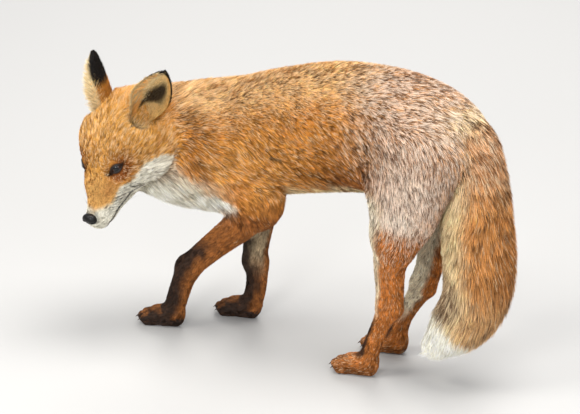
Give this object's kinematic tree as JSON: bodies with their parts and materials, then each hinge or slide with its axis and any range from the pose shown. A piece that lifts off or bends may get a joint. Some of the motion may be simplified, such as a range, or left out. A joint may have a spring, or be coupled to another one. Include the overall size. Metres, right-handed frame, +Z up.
{
  "type": "red fox, standing still model",
  "caption": "Life-size still model of an adult red fox, standing with its head lowered and turned to its left, brush hanging, on small flats under its paws.",
  "frame": {"origin": "on the floor under the middle of the fox's bounding box", "axes": "+Z up, -X the way the trunk heads, -Y the fox's left side"},
  "size_m": [0.5888, 0.2562, 0.4],
  "materials": {
    "coat_orange": "dense soft fur, reddish orange",
    "coat_grizzled": "dense fur, orange grizzled with silver",
    "coat_rust": "short flat fur, rust",
    "coat_dark": "short flat fur, blackish brown",
    "coat_white": "soft fur, off-white",
    "ear": "short velvety fur, black at the back",
    "nose": "moist black skin",
    "eye": "wet, very dark brown",
    "claw": "dull horn"
  },
  "bodies": {
    "root": {"belly": "coat_orange", "chest": "coat_orange", "claw_fore_left_1": "claw", "claw_fore_left_2": "claw", "claw_fore_left_3": "claw", "claw_fore_left_4": "claw", "claw_fore_right_1": "claw", "claw_fore_right_2": "claw", "claw_fore_right_3": "claw", "claw_fore_right_4": "claw", "claw_hind_left_1": "claw", "claw_hind_left_2": "claw", "claw_hind_left_3": "claw", "claw_hind_left_4": "claw", "claw_hind_right_1": "claw", "claw_hind_right_2": "claw", "claw_hind_right_3": "claw", "claw_hind_right_4": "claw", "ear_left": "ear", "ear_right": "ear", "eye_left": "eye", "eye_right": "eye", "foreleg_left_forearm": "coat_rust", "foreleg_left_pastern": "coat_dark", "foreleg_left_paw": "coat_dark", "foreleg_left_upper_arm": "coat_rust", "foreleg_right_forearm": "coat_rust", "foreleg_right_pastern": "coat_dark", "foreleg_right_paw": "coat_dark", "foreleg_right_upper_arm": "coat_rust", "head": "coat_orange", "hindleg_left_metatarsus": "coat_rust", "hindleg_left_paw": "coat_rust", "hindleg_left_shank": "coat_rust", "hindleg_left_thigh": "coat_grizzled", "hindleg_right_metatarsus": "coat_rust", "hindleg_right_paw": "coat_rust", "hindleg_right_shank": "coat_rust", "hindleg_right_thigh": "coat_grizzled", "hindquarters": "coat_grizzled", "jaw": "coat_white", "muzzle": "coat_orange", "neck": "coat_orange", "nose": "nose", "tail_brush": "coat_orange", "tail_root": "coat_orange", "tail_tip": "coat_white"}
  },
  "joints": []
}
